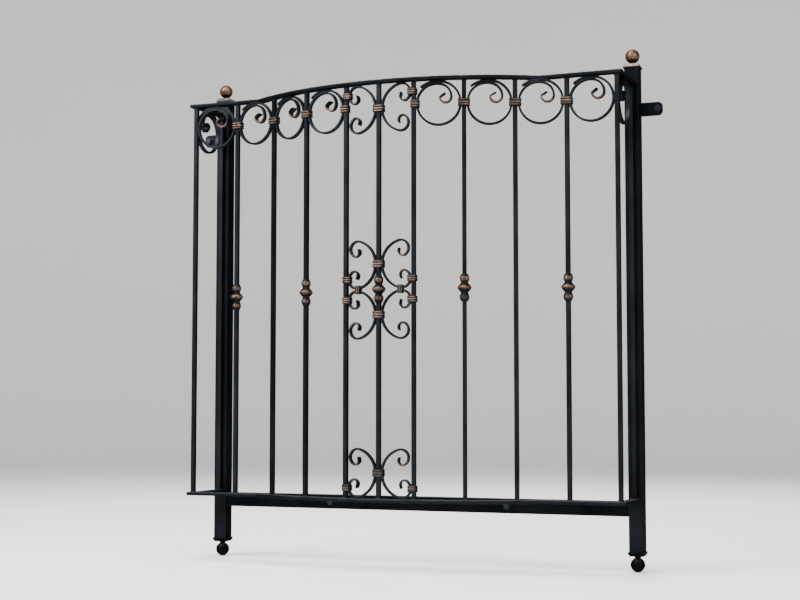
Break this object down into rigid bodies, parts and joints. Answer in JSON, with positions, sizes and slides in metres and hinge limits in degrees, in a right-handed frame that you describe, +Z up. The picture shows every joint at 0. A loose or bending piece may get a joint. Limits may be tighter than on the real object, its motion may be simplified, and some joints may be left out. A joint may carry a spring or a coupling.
{
  "type": "juliet balcony",
  "caption": "Bow-fronted wrought iron balcony guard with ring scrolls, a C-scroll panel and ball-topped posts, bolted to the wall in front of a tall window.",
  "frame": {"origin": "middle of the back face of the cross tube, in the wall plane", "axes": "+Y into the wall, -Y out of the front, +X to the right seen from the front, +Z up"},
  "size_m": [1.444, 0.3452, 1.4484],
  "materials": {
    "tube_black": "satin black paint on drawn steel tube",
    "rail_black": "satin black paint on flat bar with hammered edges",
    "bar_black": "satin black paint on square bar",
    "scroll_brushed": "satin black paint, brushed with copper on the inner curls",
    "collar_copper": "black paint brushed with copper on the raised bands",
    "bush_copper": "black paint brushed with copper on the beads",
    "cap_copper": "black paint brushed with copper along the edges",
    "ball_copper": "copper brushed over black paint",
    "foot_black": "satin black paint",
    "lug_black": "satin black paint on flat bar"
  },
  "bodies": {
    "root": {"post_left": "tube_black", "post_right": "tube_black", "cross_tube": "tube_black", "top_rail": "rail_black", "top_return_left": "rail_black", "top_return_right": "rail_black", "bottom_rail": "rail_black", "bottom_return_left": "rail_black", "bottom_return_right": "rail_black", "corner_bar_left": "bar_black", "corner_bar_right": "bar_black", "end_bar_left": "bar_black", "end_bar_right": "bar_black", "front_bar_1": "bar_black", "front_bar_2": "bar_black", "front_bar_3": "bar_black", "front_bar_4": "bar_black", "front_bar_5": "bar_black", "front_bar_6": "bar_black", "front_bar_7": "bar_black", "front_bar_8": "bar_black", "front_bar_9": "bar_black", "ring_scrolls_left": "scroll_brushed", "ring_scrolls_right": "scroll_brushed", "side_ring_left": "scroll_brushed", "side_ring_right": "scroll_brushed", "c_scrolls_top": "scroll_brushed", "c_scrolls_middle": "scroll_brushed", "c_scrolls_bottom": "scroll_brushed", "ring_collars_left": "collar_copper", "ring_collars_right": "collar_copper", "panel_collars_top": "collar_copper", "panel_collars_middle": "collar_copper", "panel_collars_bottom": "collar_copper", "bar_bushes": "bush_copper", "cap_plate_left": "cap_copper", "cap_plate_right": "cap_copper", "top_ball_left": "ball_copper", "top_ball_right": "ball_copper", "foot_flange_left": "foot_black", "foot_flange_right": "foot_black", "foot_ball_left": "foot_black", "foot_ball_right": "foot_black", "wall_lug_left": "lug_black", "wall_lug_right": "lug_black"}
  },
  "joints": []
}
